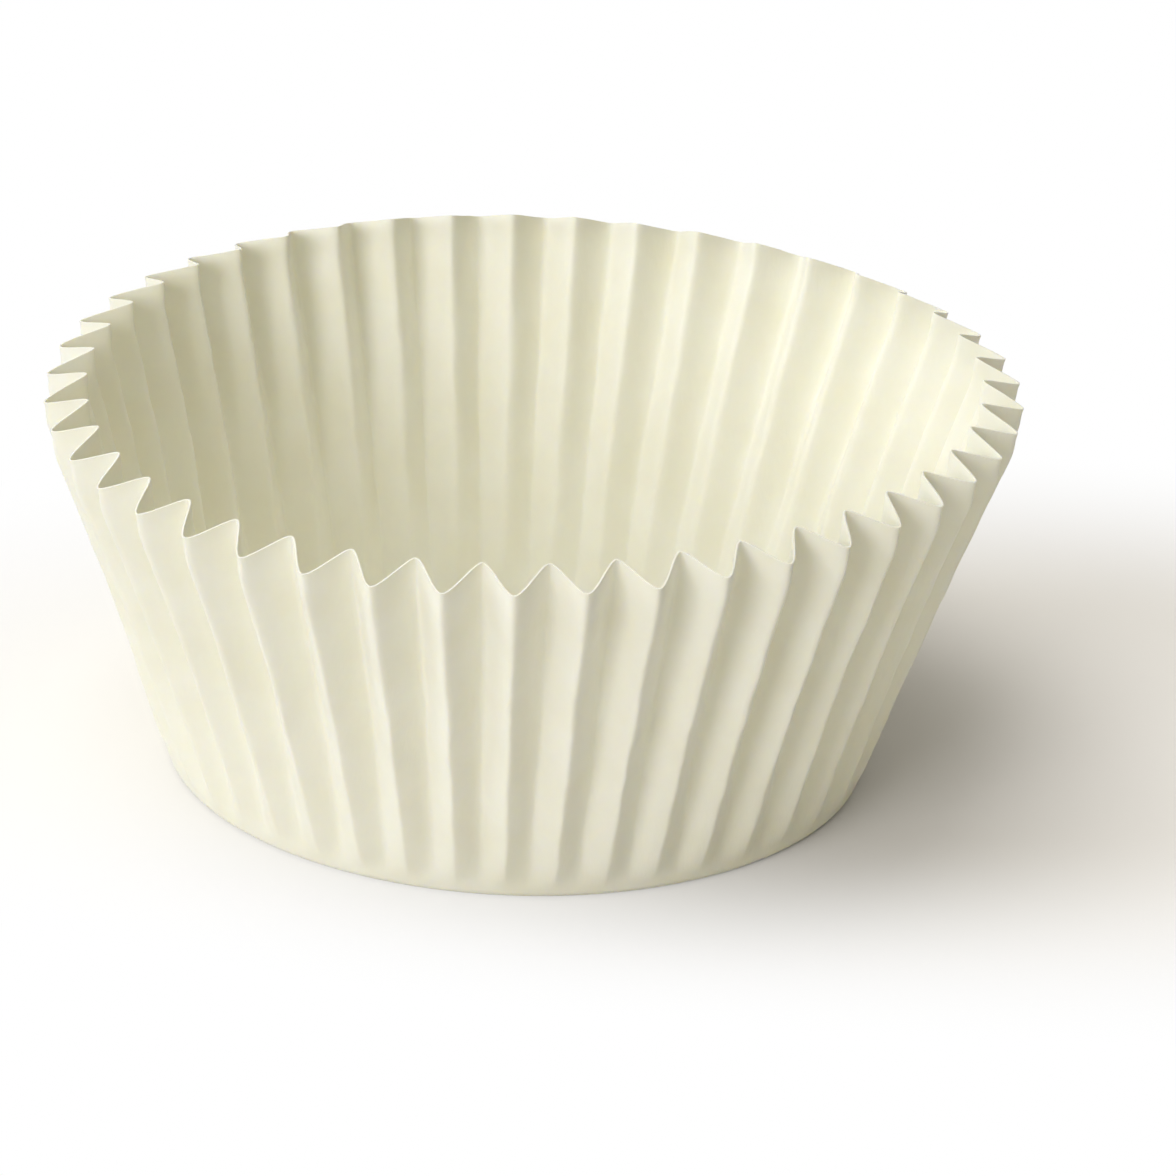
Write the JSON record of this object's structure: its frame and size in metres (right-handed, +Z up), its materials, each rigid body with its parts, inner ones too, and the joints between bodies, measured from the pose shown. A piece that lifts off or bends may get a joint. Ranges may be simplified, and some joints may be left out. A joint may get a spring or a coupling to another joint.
{
  "type": "paper baking cup",
  "caption": "Round paper baking cup with a flat floor and a flared pleated wall, open at the top, for holding batter and the cake baked in it.",
  "frame": {"origin": "middle of the flat underside of the floor, on the surface that the cup stands on", "axes": "+Z up, out of the mouth; +X and +Y lie in the surface that the cup stands on, with the more outward leaning side of the wall towards +X"},
  "size_m": [0.0695, 0.0724, 0.0293],
  "materials": {
    "paper": "matt greaseproof paper, warm white, slightly translucent"
  },
  "bodies": {
    "root": {"baking_cup": "paper"}
  },
  "joints": []
}
